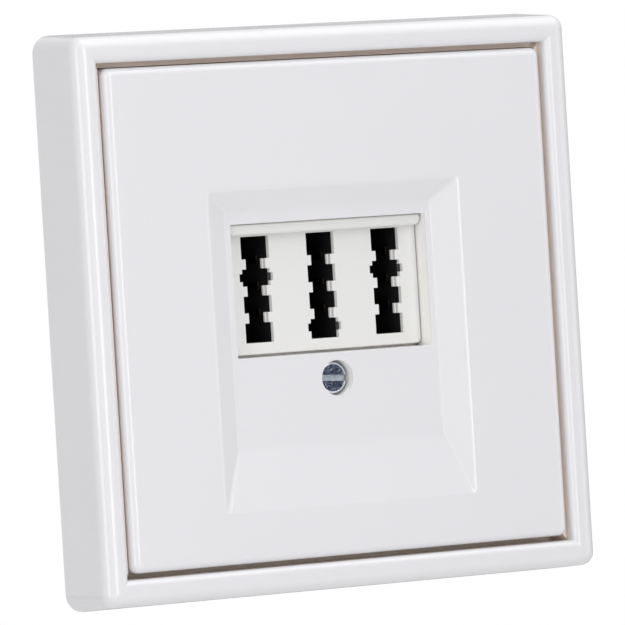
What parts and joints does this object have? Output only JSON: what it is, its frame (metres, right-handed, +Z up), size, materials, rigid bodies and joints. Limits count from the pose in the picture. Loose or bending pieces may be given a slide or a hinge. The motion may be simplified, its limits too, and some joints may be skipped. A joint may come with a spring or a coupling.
{
  "type": "telephone wall socket",
  "caption": "Flush square wall socket with bevelled recess, coded telephone plug slots, centre screw, cover frame and support ring with rear contact housing.",
  "frame": {"origin": "centre of the support ring on the wall plane", "axes": "+Y into the wall, -Y towards the room, +Z up, +X to the right seen from the room"},
  "size_m": [0.0804, 0.027, 0.0804],
  "materials": {
    "frame_white": "glossy moulded",
    "plate_white": "glossy moulded",
    "face_white": "satin moulded",
    "housing_black": "fine texture",
    "cover_black": "fine texture",
    "ring_steel": "bright zinc plated",
    "screw_steel": "blue zinc plated",
    "spring_bronze": "rolled strip",
    "strip_brass": "stamped",
    "bush_brass": "turned"
  },
  "bodies": {
    "root": {"cover_frame": "frame_white", "centre_plate": "plate_white", "centre_screw": "screw_steel", "threaded_bush": "bush_brass", "support_ring": "ring_steel", "socket_face": "face_white", "contact_housing": "housing_black", "rear_cover": "cover_black", "terminal_clamps": "screw_steel", "terminal_screws": "screw_steel", "ring_screws": "screw_steel", "contact_spring_left_1": "spring_bronze", "contact_spring_left_2": "spring_bronze", "contact_spring_left_3": "spring_bronze", "contact_spring_left_4": "spring_bronze", "contact_spring_left_5": "spring_bronze", "contact_spring_left_6": "spring_bronze", "contact_spring_middle_1": "spring_bronze", "contact_spring_middle_2": "spring_bronze", "contact_spring_middle_3": "spring_bronze", "contact_spring_middle_4": "spring_bronze", "contact_spring_middle_5": "spring_bronze", "contact_spring_middle_6": "spring_bronze", "contact_spring_right_1": "spring_bronze", "contact_spring_right_2": "spring_bronze", "contact_spring_right_3": "spring_bronze", "contact_spring_right_4": "spring_bronze", "contact_spring_right_5": "spring_bronze", "contact_spring_right_6": "spring_bronze", "link_strip_1": "strip_brass", "link_strip_2": "strip_brass", "link_strip_3": "strip_brass", "link_strip_4": "strip_brass", "link_strip_5": "strip_brass", "link_strip_6": "strip_brass"}
  },
  "joints": []
}
